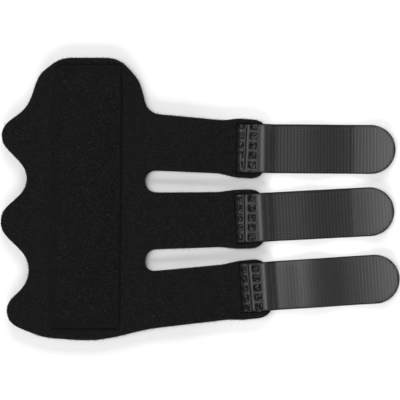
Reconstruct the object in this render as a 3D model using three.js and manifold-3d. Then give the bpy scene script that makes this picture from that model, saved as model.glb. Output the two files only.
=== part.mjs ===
// A finger splint lying flat, with its lining side up. One die-cut laminate panel has three scallops on its
// left side and three straps on its right. A crowned stay pocket runs down its middle, and a hook tab is
// welded on the end of each strap. The straps point along +X, the head along +Y, and the floor is at Z 0.

import * as THREE from 'three';
import { mergeVertices } from 'three/addons/utils/BufferGeometryUtils.js';
import Module from 'manifold-3d';

const wasm = await Module();
wasm.setup();

// Driving dimensions of the panel, in millimetres as all the others.
const PANEL_THICKNESS = 2.4;
const PANEL_EDGE_ROUND = 0.7;
const TRUNK_WIDTH = 48.3;
const SCALLOP_DEPTH = 10.8;
const HEAD_WIDTH = 44.9;
const HEAD_HEIGHT = 22.6;
const HEAD_FOOT_ROUND = 6.3;
const HEEL_DROP = 4.65;

// The scallops stand a little further apart than the straps that they lie opposite.
const SCALLOP_SPREAD = 1.1;

// Driving dimensions of the straps.
const STRAP_LENGTH = 49.4;
const STRAP_WIDTH = 23.3;
const STRAP_ROOT_GAP = 9.1;
const STRAP_END_GAP = 3.9;
const STRAP_END_RISE = 1.0;
const STRAP_END_ROUND = 6.2;
const STRAP_FLARE_LENGTH = 6.5;
const STRAP_FLARE_ROUND = 12;

// Driving dimensions of the hook tabs and of the welds that hold them.
const TAB_WIDTH = 20;
const TAB_FREE_LENGTH = 52.3;
const TAB_BACKING = 0.6;
const HOOK_HEIGHT = 0.6;
const HOOK_PITCH = 1.35;
const HOOK_BASE = 0.8;
const HOOK_CREST = 0.4;
const HOOK_START = 0.9;
const WELD_LENGTH = 12.4;
const WELD_MARGIN = 2.05;
const WELD_WEB = 1.2;
const WELD_PLATE = 1.0;
const DIMPLE_SIDE = 2.9;
const DIMPLE_DEPTH = 0.45;
const DIMPLE_PITCH = 3.92;
const DIMPLE_COLUMN_GAP = 5.3;
const DIMPLE_INSET = 8.25;
const SEAT_GAP = 0.3;

// How a tab lies beyond its strap: it drops to the floor, rises in one low wave and curls up at its tip.
const TAB_DROP_START = 0.3;
const TAB_DROP_LENGTH = 3.2;
const TAB_WAVE_LENGTH = 28;
const TAB_WAVE_HEIGHT = 0.6;
const TAB_CURL_LENGTH = 22;
const TAB_CURL_HEIGHT = 1.7;

// Driving dimensions of the stay pocket.
const POCKET_WIDTH = 27.2;
const POCKET_RISE = 1.9;
const POCKET_SIDE = 0.5;
const POCKET_TOP_MARGIN = 3.5;
const POCKET_BOTTOM_MARGIN = 5.5;

// Facets: the widest turn between two edges of an arc, and how the crown is divided.
const ARC_STEP = THREE.MathUtils.degToRad(11);
const BEVEL_STEPS = 2;
const CROWN_COLUMNS = 12;
const CROWN_ROWS = 20;
const MERGE_DISTANCE = 1e-4;

// How far a cutting solid reaches past what it cuts.
const CUT_OVERRUN = 3;

// Outline of the head, from its left side over its top to its right. Each x is a share of the head's width
// from its middle, each drop a share of its height from its top, and each round a share of its width.
const HEAD_CORNERS = [
  { x: -0.435, drop: 0.3, round: 0.22 },
  { x: -0.244, drop: 0, round: 0.27 },
  { x: 0.294, drop: 0, round: 0.255 },
  { x: 0.48, drop: 0.42, round: 0.32 },
];

// Outline of the scallops, from the lowest to the head's left side. Each out is a share of the scallops'
// depth beyond the line of their valleys, and each y and round a share of their pitch.
const SCALLOP_CORNERS = [
  { out: 1.32, y: -1.095, round: 0.21 },
  { out: -0.49, y: -0.56, round: 0.32 },
  { out: 1.4, y: 0, round: 0.245 },
  { out: -0.33, y: 0.474, round: 0.26 },
  { out: 1.34, y: 1.006, round: 0.21 },
  { out: 0.01, y: 1.3, round: 0.37 },
];

// The heel's two blunt corners, from right to left, with each x and round a share of the trunk's width and
// each drop a share of the heel's.
const HEEL_CORNERS = [
  { x: 0.081, drop: 1.105, round: 1.02 },
  { x: -0.38, drop: 0.74, round: 0.51 },
];

// The straps. The row counts strap pitches up from the middle one, the reach is a share of the strap's
// length, the waist of its width and the tab's offset of the cloth beside its weld. The tab's lean is in
// degrees, and its wave is a share of the wave's height.
const STRAPS = [
  { name: 'top', row: 1, reach: 1, waist: 0.935, offset: 0.3, lean: -0.5, wave: 0.8 },
  { name: 'middle', row: 0, reach: 0.99, waist: 0.965, offset: 0.3, lean: 3.0, wave: 0.7 },
  { name: 'low', row: -1, reach: 1.035, waist: 0.97, offset: 0.25, lean: 3.7, wave: 1.2 },
];

// Corners of the pocket, as shares of its width and length from its middle: it widens and leans a little
// towards the heel.
const POCKET_CORNERS = {
  topLeft: { x: -0.456, y: 0.5 },
  topRight: { x: 0.519, y: 0.5 },
  lowRight: { x: 0.481, y: -0.5 },
  lowLeft: { x: -0.546, y: -0.5 },
};

// Fullness of the crown: the powers of its section towards the pocket's sides and towards its ends.
const CROWN_SIDE_POWER = 3;
const CROWN_END_POWER = 14;

// Sizes that follow from the ones above. The straps' ends are as far apart as the wider of a strap and its
// weld asks.
const weldWidth = TAB_WIDTH + 2 * WELD_MARGIN;
const strapRootPitch = STRAP_WIDTH + STRAP_ROOT_GAP;
const strapEndPitch = Math.max(weldWidth, STRAP_WIDTH) + STRAP_END_GAP;
const scallopPitch = SCALLOP_SPREAD * strapRootPitch;
const rootX = TRUNK_WIDTH / 2;
const headFootY = strapRootPitch + STRAP_WIDTH / 2;
const headTopY = headFootY + HEAD_HEIGHT;
const heelY = -headFootY - HEEL_DROP;
const seatZ = WELD_WEB + SEAT_GAP;

/** A corner of an outline, with the radius that rounds it. */
function corner(x, y, round) {
  return { point: new THREE.Vector2(x, y), round };
}

/** The points of one rounded corner. Its arc takes at most half of each side that meets there. */
function roundedCorner(before, here, after) {
  const back = before.point.clone().sub(here.point);
  const on = after.point.clone().sub(here.point);
  const half = Math.acos(THREE.MathUtils.clamp(back.dot(on) / (back.length() * on.length()), -1, 1)) / 2;
  const room = Math.min(back.length(), on.length()) / 2;
  const reach = Math.min(here.round / Math.tan(half), room);
  const radius = reach * Math.tan(half);
  const start = back.clone().setLength(reach);
  const end = on.clone().setLength(reach);
  const centre = start.clone().add(end).setLength(radius / Math.sin(half)).add(here.point);
  const from = start.add(here.point).sub(centre).angle();
  const turn = Math.PI - 2 * half;
  const clockwise = back.cross(on) > 0;
  const to = clockwise ? from - turn : from + turn;
  const arc = new THREE.EllipseCurve(centre.x, centre.y, radius, radius, from, to, clockwise);
  return arc.getPoints(Math.max(2, Math.ceil(turn / ARC_STEP)));
}

/** A closed outline through corners, each one rounded. */
function roundedOutline(corners) {
  const points = corners.flatMap((here, index) => {
    const before = corners.at(index - 1);
    const after = corners[(index + 1) % corners.length];
    return roundedCorner(before, here, after);
  });
  return new THREE.Shape(points);
}

/** A closed geometry as a solid that can be cut. */
function solidOf(geometry) {
  const bare = geometry.index ? geometry.toNonIndexed() : geometry.clone();
  bare.deleteAttribute('normal');
  bare.deleteAttribute('uv');
  const merged = mergeVertices(bare, MERGE_DISTANCE);
  return new wasm.Manifold(new wasm.Mesh({
    numProp: 3,
    vertProperties: merged.attributes.position.array,
    triVerts: merged.index.array,
  }));
}

/** A cut solid as a geometry again. */
function geometryOf(solid) {
  const mesh = solid.getMesh();
  const geometry = new THREE.BufferGeometry();
  geometry.setAttribute('position', new THREE.BufferAttribute(mesh.vertProperties, 3));
  geometry.setIndex(new THREE.BufferAttribute(mesh.triVerts, 1));
  geometry.computeVertexNormals();
  return geometry;
}

/** Where a strap starts and ends and which way it runs, as a frame: x along the strap, y across it. */
function strapFrame(strap) {
  const root = new THREE.Vector2(rootX, strap.row * strapRootPitch);
  const end = new THREE.Vector2(
    rootX + strap.reach * STRAP_LENGTH,
    strap.row * strapEndPitch + STRAP_END_RISE,
  );
  const along = end.clone().sub(root);
  return { root, end, length: along.length(), angle: along.angle() };
}

/** One long edge of a strap, from its root to its end, on the side that the sign gives. */
function strapEdge(strap, side, rootRound) {
  const frame = strapFrame(strap);
  const shoulder = frame.length - WELD_LENGTH;
  const edge = [
    { along: 0, across: STRAP_WIDTH / 2, round: rootRound },
    { along: shoulder - STRAP_FLARE_LENGTH, across: strap.waist * STRAP_WIDTH / 2, round: STRAP_FLARE_ROUND },
    { along: shoulder, across: weldWidth / 2, round: STRAP_FLARE_ROUND },
    { along: frame.length, across: weldWidth / 2, round: STRAP_END_ROUND },
  ];
  return edge.map(({ along, across, round }) => {
    const point = new THREE.Vector2(along, side * across);
    point.rotateAround(new THREE.Vector2(), frame.angle).add(frame.root);
    return corner(point.x, point.y, round);
  });
}

/** The panel's outline: over the head, round the three straps, along the heel and up the scallops. */
function panelOutline() {
  const head = HEAD_CORNERS.map(({ x, drop, round }) => (
    corner(x * HEAD_WIDTH, headTopY - drop * HEAD_HEIGHT, round * HEAD_WIDTH)));
  const straps = STRAPS.flatMap((strap, index) => {
    const above = index === 0 ? HEAD_FOOT_ROUND : STRAP_ROOT_GAP / 2;
    const below = index === STRAPS.length - 1 ? TRUNK_WIDTH / 2 : STRAP_ROOT_GAP / 2;
    return [...strapEdge(strap, 1, above), ...strapEdge(strap, -1, below).reverse()];
  });
  const heel = HEEL_CORNERS.map(({ x, drop, round }) => (
    corner(x * TRUNK_WIDTH, -headFootY - drop * HEEL_DROP, round * TRUNK_WIDTH)));
  const scallops = SCALLOP_CORNERS.map(({ out, y, round }) => (
    corner(-rootX - out * SCALLOP_DEPTH, y * scallopPitch, round * scallopPitch)));
  return roundedOutline([...head, ...straps, ...heel, ...scallops]);
}

/** Moves a geometry or an object from a tab's own frame, which starts at the middle of its strap's end. */
function tabPlacement(strap) {
  const frame = strapFrame(strap);
  const turn = new THREE.Matrix4().makeRotationZ(THREE.MathUtils.degToRad(strap.lean));
  const move = new THREE.Matrix4().makeTranslation(
    frame.end.x,
    frame.end.y + strap.offset * WELD_MARGIN,
    0,
  );
  return move.multiply(turn);
}

/** The panel, with its edges rounded and a seat pressed into each strap's end for the root of a tab. */
function panelGeometry() {
  const blank = new THREE.ExtrudeGeometry(panelOutline(), {
    depth: PANEL_THICKNESS - 2 * PANEL_EDGE_ROUND,
    bevelThickness: PANEL_EDGE_ROUND,
    bevelSize: PANEL_EDGE_ROUND,
    bevelOffset: -PANEL_EDGE_ROUND,
    bevelSegments: BEVEL_STEPS,
  });
  blank.translate(0, 0, PANEL_EDGE_ROUND);
  const seatLength = WELD_LENGTH + SEAT_GAP + CUT_OVERRUN;
  const seatHeight = PANEL_THICKNESS - WELD_WEB + CUT_OVERRUN;
  const panel = STRAPS.reduce((left, strap) => {
    const seat = new THREE.BoxGeometry(seatLength, TAB_WIDTH + 2 * SEAT_GAP, seatHeight);
    seat.translate(CUT_OVERRUN - seatLength / 2, 0, WELD_WEB + seatHeight / 2);
    seat.applyMatrix4(tabPlacement(strap));
    return left.subtract(solidOf(seat));
  }, solidOf(blank));
  return geometryOf(panel);
}

/** The pocket: a long pad with a flat underside, low sides and a top that is crowned both ways. */
function pocketGeometry() {
  const top = headTopY - POCKET_TOP_MARGIN;
  const bottom = heelY + POCKET_BOTTOM_MARGIN;
  const length = top - bottom;
  const geometry = new THREE.BoxGeometry(POCKET_WIDTH, length, POCKET_RISE, CROWN_COLUMNS, CROWN_ROWS, 1);
  const position = geometry.attributes.position;
  const { topLeft, topRight, lowRight, lowLeft } = POCKET_CORNERS;
  for (let index = 0; index < position.count; index += 1) {
    // The grid's lines draw together towards the pocket's edges, where the crown is steepest.
    const across = Math.sin(Math.PI * position.getX(index) / POCKET_WIDTH);
    const along = Math.sin(Math.PI * position.getY(index) / length);
    const rightShare = (1 + across) / 2;
    const topShare = (1 + along) / 2;
    const leftX = THREE.MathUtils.lerp(lowLeft.x, topLeft.x, topShare);
    const rightX = THREE.MathUtils.lerp(lowRight.x, topRight.x, topShare);
    const sideFullness = 1 - Math.abs(across) ** CROWN_SIDE_POWER;
    const endFullness = 1 - Math.abs(along) ** CROWN_END_POWER;
    const height = POCKET_SIDE + (POCKET_RISE - POCKET_SIDE) * Math.sqrt(sideFullness * endFullness);
    position.setXYZ(
      index,
      POCKET_WIDTH * THREE.MathUtils.lerp(leftX, rightX, rightShare),
      THREE.MathUtils.lerp(bottom, top, topShare),
      PANEL_THICKNESS + SEAT_GAP + (position.getZ(index) > 0 ? height : 0),
    );
  }
  return geometryOf(solidOf(geometry));
}

/** How high a tab's underside lies at a distance beyond its strap's end. */
function tabLift(strap, x) {
  const drop = 1 - THREE.MathUtils.smoothstep(x, TAB_DROP_START, TAB_DROP_START + TAB_DROP_LENGTH);
  const waveStart = TAB_DROP_START + TAB_DROP_LENGTH;
  const waveShare = THREE.MathUtils.clamp((x - waveStart) / TAB_WAVE_LENGTH, 0, 1);
  const wave = Math.sin(waveShare * Math.PI) ** 2;
  const curl = Math.max(0, 1 - (TAB_FREE_LENGTH - x) / TAB_CURL_LENGTH) ** 2;
  return seatZ * drop + strap.wave * TAB_WAVE_HEIGHT * wave + TAB_CURL_HEIGHT * curl;
}

/** A tab's section along its length: a level root, then thin backing under rows of hooks. */
function tabSection(strap) {
  const rowCount = Math.floor((TAB_FREE_LENGTH - HOOK_START - HOOK_BASE) / HOOK_PITCH);
  const rows = Array.from({ length: rowCount + 1 }, (_, index) => HOOK_START + index * HOOK_PITCH);
  const under = [-WELD_LENGTH, 0, ...rows, TAB_FREE_LENGTH].map((x) => (
    new THREE.Vector2(x, tabLift(strap, x))));
  const hooks = rows.flatMap((x) => [
    { x: x - HOOK_BASE / 2, height: 0 },
    { x: x - HOOK_CREST / 2, height: HOOK_HEIGHT },
    { x: x + HOOK_CREST / 2, height: HOOK_HEIGHT },
    { x: x + HOOK_BASE / 2, height: 0 },
  ]);
  const over = [
    { x: 0, height: 0 },
    ...hooks,
    { x: TAB_FREE_LENGTH, height: 0 },
  ].map(({ x, height }) => new THREE.Vector2(x, tabLift(strap, x) + TAB_BACKING + height));
  const rootTop = seatZ + WELD_PLATE;
  over.unshift(new THREE.Vector2(-WELD_LENGTH, rootTop), new THREE.Vector2(0, rootTop));
  return new THREE.Shape([...under, ...over.reverse()]);
}

/** A tab's plan: straight sides, a square root and a half-round tip. */
function tabPlan() {
  const side = TAB_WIDTH / 2;
  return roundedOutline([
    corner(-WELD_LENGTH, -side, SEAT_GAP),
    corner(TAB_FREE_LENGTH, -side, side),
    corner(TAB_FREE_LENGTH, side, side),
    corner(-WELD_LENGTH, side, SEAT_GAP),
  ]);
}

/** The square pits that the welding horn presses into a tab's root, in line with its strap. */
function dimples(strap) {
  const tilt = strapFrame(strap).angle - THREE.MathUtils.degToRad(strap.lean);
  const rowCount = Math.floor((TAB_WIDTH - DIMPLE_SIDE) / DIMPLE_PITCH) + 1;
  const height = DIMPLE_DEPTH + CUT_OVERRUN;
  const flare = DIMPLE_SIDE * height / (DIMPLE_SIDE + DIMPLE_DEPTH);
  const pits = [];
  for (const column of [-0.5, 0.5]) {
    for (let row = 0; row < rowCount; row += 1) {
      const pit = new THREE.CylinderGeometry(
        Math.SQRT1_2 * (DIMPLE_SIDE + flare),
        Math.SQRT1_2 * (DIMPLE_SIDE - DIMPLE_DEPTH),
        height,
        4,
      );
      pit.rotateY(Math.PI / 4).rotateX(Math.PI / 2);
      pit.translate(
        column * DIMPLE_COLUMN_GAP,
        (row - (rowCount - 1) / 2) * DIMPLE_PITCH,
        seatZ + WELD_PLATE - DIMPLE_DEPTH + height / 2,
      );
      pit.rotateZ(tilt).translate(-DIMPLE_INSET, 0, 0);
      pits.push(solidOf(pit));
    }
  }
  return pits;
}

/** One hook tab in its own frame. */
function tabGeometry(strap) {
  const strip = new THREE.ExtrudeGeometry(tabSection(strap), {
    depth: TAB_WIDTH + 2 * CUT_OVERRUN,
    bevelEnabled: false,
  });
  strip.rotateX(Math.PI / 2).translate(0, TAB_WIDTH / 2 + CUT_OVERRUN, 0);
  const planHeight = seatZ + WELD_PLATE + TAB_CURL_HEIGHT + 2 * CUT_OVERRUN;
  const plan = new THREE.ExtrudeGeometry(tabPlan(), { depth: planHeight, bevelEnabled: false });
  plan.translate(0, 0, -CUT_OVERRUN);
  const blank = solidOf(strip).intersect(solidOf(plan));
  const tab = dimples(strap).reduce((left, pit) => left.subtract(pit), blank);
  return geometryOf(tab);
}

// Finishes: brushed loop cloth on the panel and the pocket, and moulded plastic on the tabs.
const liningCloth = new THREE.MeshStandardMaterial({ color: 0x1b1b1c, roughness: 0.95, metalness: 0 });
const pocketCloth = new THREE.MeshStandardMaterial({ color: 0x1a1a1b, roughness: 0.95, metalness: 0 });
const hookPlastic = new THREE.MeshStandardMaterial({ color: 0x404042, roughness: 0.45, metalness: 0 });

/** A named mesh of one piece. */
function piece(name, geometry, material) {
  const mesh = new THREE.Mesh(geometry, material);
  mesh.name = name;
  return mesh;
}

const splint = new THREE.Group();
splint.add(piece('body_panel', panelGeometry(), liningCloth));
splint.add(piece('stay_pocket', pocketGeometry(), pocketCloth));
for (const strap of STRAPS) {
  const tab = piece(`hook_tab_${strap.name}`, tabGeometry(strap), hookPlastic);
  tab.applyMatrix4(tabPlacement(strap));
  splint.add(tab);
}

// The part stands on the middle of its own footprint.
const box = new THREE.Box3().setFromObject(splint, true);
const middle = box.getCenter(new THREE.Vector3());
splint.position.set(-middle.x, -middle.y, -box.min.z);

const part = new THREE.Group();
part.add(splint);

export default part;
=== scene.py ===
# %% [markdown]
# # A finger splint, laid flat with its lining side up
# The real splint is one die-cut panel of thin foam between two layers of brushed loop cloth. A padded
# pocket for a bendable stay is sewn down its middle, and a strip of moulded hook tape is welded on the end
# of each of its three straps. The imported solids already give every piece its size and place, so this lesson
# only dresses them: it reads each solid, and builds the soft or finely detailed piece that stands for it.

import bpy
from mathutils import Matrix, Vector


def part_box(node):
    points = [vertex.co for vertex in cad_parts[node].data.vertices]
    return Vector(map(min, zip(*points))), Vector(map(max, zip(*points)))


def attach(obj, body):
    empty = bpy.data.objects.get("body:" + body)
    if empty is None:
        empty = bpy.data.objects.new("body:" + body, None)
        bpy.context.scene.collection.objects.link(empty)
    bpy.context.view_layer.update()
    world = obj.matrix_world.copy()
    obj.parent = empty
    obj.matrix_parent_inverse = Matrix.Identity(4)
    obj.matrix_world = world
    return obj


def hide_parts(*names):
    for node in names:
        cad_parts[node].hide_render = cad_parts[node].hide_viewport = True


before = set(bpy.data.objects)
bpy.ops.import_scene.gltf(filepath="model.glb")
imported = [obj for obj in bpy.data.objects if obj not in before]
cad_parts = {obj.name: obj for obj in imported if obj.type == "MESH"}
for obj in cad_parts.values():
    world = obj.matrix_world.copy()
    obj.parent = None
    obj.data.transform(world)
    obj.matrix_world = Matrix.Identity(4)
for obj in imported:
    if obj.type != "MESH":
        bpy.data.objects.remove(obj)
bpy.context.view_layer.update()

# %% Tools and units
import math

import bmesh
import bpy
import numpy as np
from mathutils import Matrix, Vector, geometry, kdtree, noise

MM = 0.001
BODY = "root"
draw = np.random.default_rng(7)

# %% [markdown]
# ## The camera
# The splint was photographed from straight above. The hook tape gives the scale: it is sold 20 mm wide, and
# it measures 49 pixels. A long lens keeps the three straps nearly free of perspective, as in the photograph.

# %% Scale and place of the photograph
IMAGE_SIDE = 400
PIXEL = 20 * MM / 49
ORIGIN_PIXEL = (199.99, 198.97)


def from_photo(px, py):
    """The point of the row frame, seen from above, that a pixel of the photograph shows."""
    return (px - ORIGIN_PIXEL[0]) * PIXEL, (ORIGIN_PIXEL[1] - py) * PIXEL


# %% The camera itself
LENS = 110
SENSOR = 36
CLOTH_MID_HEIGHT = 1.2 * MM
camera_data = bpy.data.cameras.new("camera")
camera_data.lens = LENS
camera_data.sensor_width = SENSOR
camera_data.clip_start = 0.01
camera_data.clip_end = 20
camera = bpy.data.objects.new("camera", camera_data)
bpy.context.scene.collection.objects.link(camera)
bpy.context.scene.camera = camera
camera_x, camera_y = from_photo(IMAGE_SIDE / 2, IMAGE_SIDE / 2)
camera_z = CLOTH_MID_HEIGHT + IMAGE_SIDE * PIXEL * LENS / SENSOR
camera.location = (camera_x, camera_y, camera_z)
print("camera at", tuple(camera.location), "frame side", IMAGE_SIDE * PIXEL)

# %% [markdown]
# ## Floor and light
# A catalogue picture of a black thing is lit by big soft boxes and lies on a pale floor that burns out to
# white. One box stands a little to the left of the lens: its near edge is what a level surface of the tape
# just fails to mirror, so every part of a tab that rises to the right shines and every part that falls to
# the right stays dark. Low boxes before and behind lift the open floor, and the straps keep their light out
# of the slots between them, which is why the slots are grey in the photograph.

# %% Floor
FLOOR_SIDE = 6
FLOOR_DROP = 0.02 * MM


def mesh_object(name, points, faces, rounded=True):
    """A new mesh object from points and faces, shaded smooth or flat."""
    mesh = bpy.data.meshes.new(name)
    mesh.from_pydata([tuple(p) for p in points], [], [tuple(f) for f in faces])
    mesh.validate()
    if rounded:
        mesh.shade_smooth()
    else:
        mesh.shade_flat()
    made = bpy.data.objects.new(name, mesh)
    bpy.context.scene.collection.objects.link(made)
    return made


floor_corners = [
    (x * FLOOR_SIDE / 2, y * FLOOR_SIDE / 2, -FLOOR_DROP)
    for x, y in ((-1, -1), (1, -1), (1, 1), (-1, 1))
]
floor = mesh_object("floor", floor_corners, [(0, 1, 2, 3)], rounded=False)
print("floor", FLOOR_SIDE, "m square")

# %% Lights
WORLD_LIGHT = 0.15
LIGHTS = [
    # name, direction it stands in (x, y, z), distance, width, length, power
    ("key", (-0.54, 0.05, 1.0), 1.1, 0.76, 1.2, 8.2),
    ("left_low", (-1.0, 0.1, 0.30), 1.4, 1.4, 0.4, 1.5),
    ("right_low", (1.0, -0.1, 0.34), 1.4, 1.4, 0.4, 1.2),
    ("back_low", (0.1, 1.0, 0.30), 1.4, 1.4, 0.4, 25.0),
    ("front_low", (-0.1, -1.0, 0.30), 1.4, 1.4, 0.4, 25.0),
]


def soft_light(name, direction, distance, width, length, power):
    """A soft box that stands in a direction from the splint and points at it."""
    data = bpy.data.lights.new(name, "AREA")
    data.shape = "RECTANGLE"
    data.size, data.size_y = width, length
    data.energy = power
    made = bpy.data.objects.new(name, data)
    bpy.context.scene.collection.objects.link(made)
    away = Vector(direction).normalized()
    made.location = away * distance
    made.rotation_mode = "QUATERNION"
    made.rotation_quaternion = away.to_track_quat("Z", "Y")
    return made


for light in LIGHTS:
    soft_light(*light)

world = bpy.data.worlds.new("studio")
bpy.context.scene.world = world
world.use_nodes = True
background = world.node_tree.nodes["Background"]
background.inputs["Color"].default_value = (1, 1, 1, 1)
background.inputs["Strength"].default_value = WORLD_LIGHT
bpy.context.scene.view_settings.view_transform = "Standard"
bpy.context.scene.view_settings.look = "None"

# %% [markdown]
# ## Finishes
# Each finish is a small tree of nodes over one Principled shader. All of them work from object
# coordinates, in metres, so that a grain has its true size on every piece and needs no unwrapping.

# %% Helpers for node trees


def new_finish(name, roughness, specular, sheen=0.0):
    """A material with its shader, its tree and its object coordinates."""
    made = bpy.data.materials.new(name)
    made.use_nodes = True
    tree = made.node_tree
    shader = tree.nodes["Principled BSDF"]
    shader.inputs["Roughness"].default_value = roughness
    shader.inputs["Specular IOR Level"].default_value = specular
    shader.inputs["Sheen Weight"].default_value = sheen
    place = tree.nodes.new("ShaderNodeTexCoord").outputs["Object"]
    return made, tree, shader, place


def grain(tree, place, size, detail=3.0, seed=0.0):
    """Soft noise whose lumps are as wide as the size."""
    made = tree.nodes.new("ShaderNodeTexNoise")
    made.noise_dimensions = "4D"
    made.inputs["Scale"].default_value = 1 / size
    made.inputs["Detail"].default_value = detail
    made.inputs["W"].default_value = seed
    tree.links.new(place, made.inputs["Vector"])
    return made.outputs["Fac"]


def between(tree, share, low, high, low_at=0.3, high_at=0.7):
    """Two grey tones mixed by a share, as a colour."""
    ramp = tree.nodes.new("ShaderNodeValToRGB")
    ramp.color_ramp.elements[0].position = low_at
    ramp.color_ramp.elements[1].position = high_at
    ramp.color_ramp.elements[0].color = (*low, 1)
    ramp.color_ramp.elements[1].color = (*high, 1)
    tree.links.new(share, ramp.inputs["Fac"])
    return ramp.outputs["Color"]


def added(tree, first, second, first_share=1.0, second_share=1.0):
    """The weighted sum of two values."""
    made = tree.nodes.new("ShaderNodeMath")
    made.operation = "MULTIPLY"
    made.inputs[1].default_value = first_share
    tree.links.new(first, made.inputs[0])
    total = tree.nodes.new("ShaderNodeMath")
    total.operation = "MULTIPLY_ADD"
    total.inputs[1].default_value = second_share
    tree.links.new(second, total.inputs[0])
    tree.links.new(made.outputs[0], total.inputs[2])
    return total.outputs[0]


def ranged(tree, share, low, high):
    """A value moved from 0..1 to a range."""
    made = tree.nodes.new("ShaderNodeMapRange")
    made.inputs["To Min"].default_value = low
    made.inputs["To Max"].default_value = high
    tree.links.new(share, made.inputs["Value"])
    return made.outputs["Result"]


def bumped(tree, shader, height, depth, strength=1.0):
    """Relief that is only in the shading, for what is too fine to model."""
    bump = tree.nodes.new("ShaderNodeBump")
    bump.inputs["Strength"].default_value = strength
    bump.inputs["Distance"].default_value = depth
    tree.links.new(height, bump.inputs["Height"])
    tree.links.new(bump.outputs["Normal"], shader.inputs["Normal"])


# %% [markdown]
# ### Brushed loop cloth
# Loop cloth is knitted with a pile of tiny loops and then brushed until they tangle. It is matt, nearly
# black, and a little blotchy, because the pile leans one way here and another way there. Three sizes of
# noise give the clumps, the tufts and the fibres. A weak sheen stands for the stray fibres that catch light
# at the edges.

# %% Cloth finish
CLUMP = 2.2 * MM
TUFT = 0.5 * MM
FIBRE = 0.12 * MM
CLOTH_RELIEF = 0.3 * MM


def cloth_finish(name, dark, pale, seed):
    """Brushed loop cloth between two dark tones."""
    made, tree, shader, place = new_finish(name, roughness=0.95, specular=0.05, sheen=0.02)
    shader.inputs["Sheen Roughness"].default_value = 0.6
    clumps = grain(tree, place, CLUMP, 3.0, seed)
    tufts = grain(tree, place, TUFT, 2.0, seed + 3)
    fibres = grain(tree, place, FIBRE, 2.0, seed + 6)
    pile = added(tree, clumps, tufts, first_share=0.3, second_share=0.7)
    tone = between(tree, pile, dark, pale, low_at=0.4, high_at=0.62)
    tree.links.new(tone, shader.inputs["Base Color"])
    tree.links.new(ranged(tree, fibres, low=0.85, high=1.0), shader.inputs["Roughness"])
    relief = added(tree, pile, fibres, first_share=0.7, second_share=0.3)
    bumped(tree, shader, relief, CLOTH_RELIEF, strength=0.7)
    return made


# name, darker tone, paler tone, seed of the grain
lining = cloth_finish("brushed_lining", (0.0026, 0.0026, 0.0027), (0.0078, 0.0078, 0.0079), 0.0)
pocket_cover = cloth_finish("brushed_pocket", (0.0020, 0.0020, 0.0021), (0.0068, 0.0068, 0.0069), 5.0)

# %% [markdown]
# ### Moulded hook tape
# Hook tape is extruded nylon: satin, a very dark grey, with a faint waviness from the mould. Its shine does
# most of the work here, so the base colour is nearly black and the roughness is middling. Its cut edge is
# dull and dark. The walls of the welded pits and the groove between them take the same dark finish as painted
# shade, where little light gets in and out. The ground between the hooks is duller than the tape and painted
# darker as shade, and the hooks' crooks are painted paler as a highlight, so that the rows stand out. The
# root that has melted into the cloth lies between the tape and its cut edge.

# %% Plastic finishes
CLOUD = 3 * MM
MOULD_GRAIN = 0.12 * MM
MOULD_RELIEF = 0.01 * MM
SMOOTHER = 0.05
ROUGHER = 0.07


def plastic_finish(name, dark, pale, roughness, specular, seed):
    """Satin nylon with a fine mould grain."""
    made, tree, shader, place = new_finish(name, roughness, specular)
    cloudy = grain(tree, place, CLOUD, 2.0, seed)
    fine = grain(tree, place, MOULD_GRAIN, 2.0, seed + 2)
    tree.links.new(between(tree, cloudy, dark, pale), shader.inputs["Base Color"])
    spread = ranged(tree, fine, low=roughness - SMOOTHER, high=roughness + ROUGHER)
    tree.links.new(spread, shader.inputs["Roughness"])
    bumped(tree, shader, fine, MOULD_RELIEF, strength=0.35)
    return made


# name, darker tone, paler tone, roughness, specular share, seed of the grain
tape = plastic_finish("hook_tape", (0.011, 0.011, 0.0112), (0.015, 0.015, 0.0152), 0.31, 0.78, 1.0)
# the cut edge's dark finish, which the pits' walls and the groove also take as painted shade
edge_and_shade_finish = plastic_finish("cut_edge_and_painted_shade", (0.004, 0.004, 0.0041), (0.006, 0.006, 0.0061), 0.75, 0.15, 9.0)
# painted shade: a darker copy of the tape for the ground between the hooks
ground_shade_finish = plastic_finish("hook_ground_painted_shade", (0.006, 0.006, 0.0061), (0.009, 0.009, 0.0091), 0.42, 0.36, 4.0)
# painted highlight: a paler copy of the tape for the hooks' crooks
crook_highlight_finish = plastic_finish("hook_crooks_painted_highlight", (0.018, 0.018, 0.0182), (0.026, 0.026, 0.0262), 0.3, 1.0, 14.0)
tape_melt = plastic_finish("melted_root", (0.008, 0.008, 0.0081), (0.016, 0.016, 0.0162), 0.4, 0.6, 6.0)
print("finishes", [m.name for m in bpy.data.materials])

# %% [markdown]
# ## Reading the solids
# A fitted piece starts from what the solid says. Four short readings are enough here: the outline of the
# panel, the corners of the pocket, the way each tab points, and the line that a tab's underside follows.

# %% Read a node without touching it
JOIN = 1e-6
SAME_LEVEL = 10 * JOIN
FACING = 0.5
UPRIGHT = 0.01
OUTLINE_STEP = 0.4 * MM
OUTLINE_PASSES = 8
FEWEST_POINTS = 8


def welded_copy(node):
    """A copy of a node's mesh whose doubled corners are joined."""
    copy = bmesh.new()
    copy.from_mesh(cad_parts[node].data)
    bmesh.ops.remove_doubles(copy, verts=copy.verts, dist=JOIN)
    copy.normal_update()
    return copy


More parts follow.
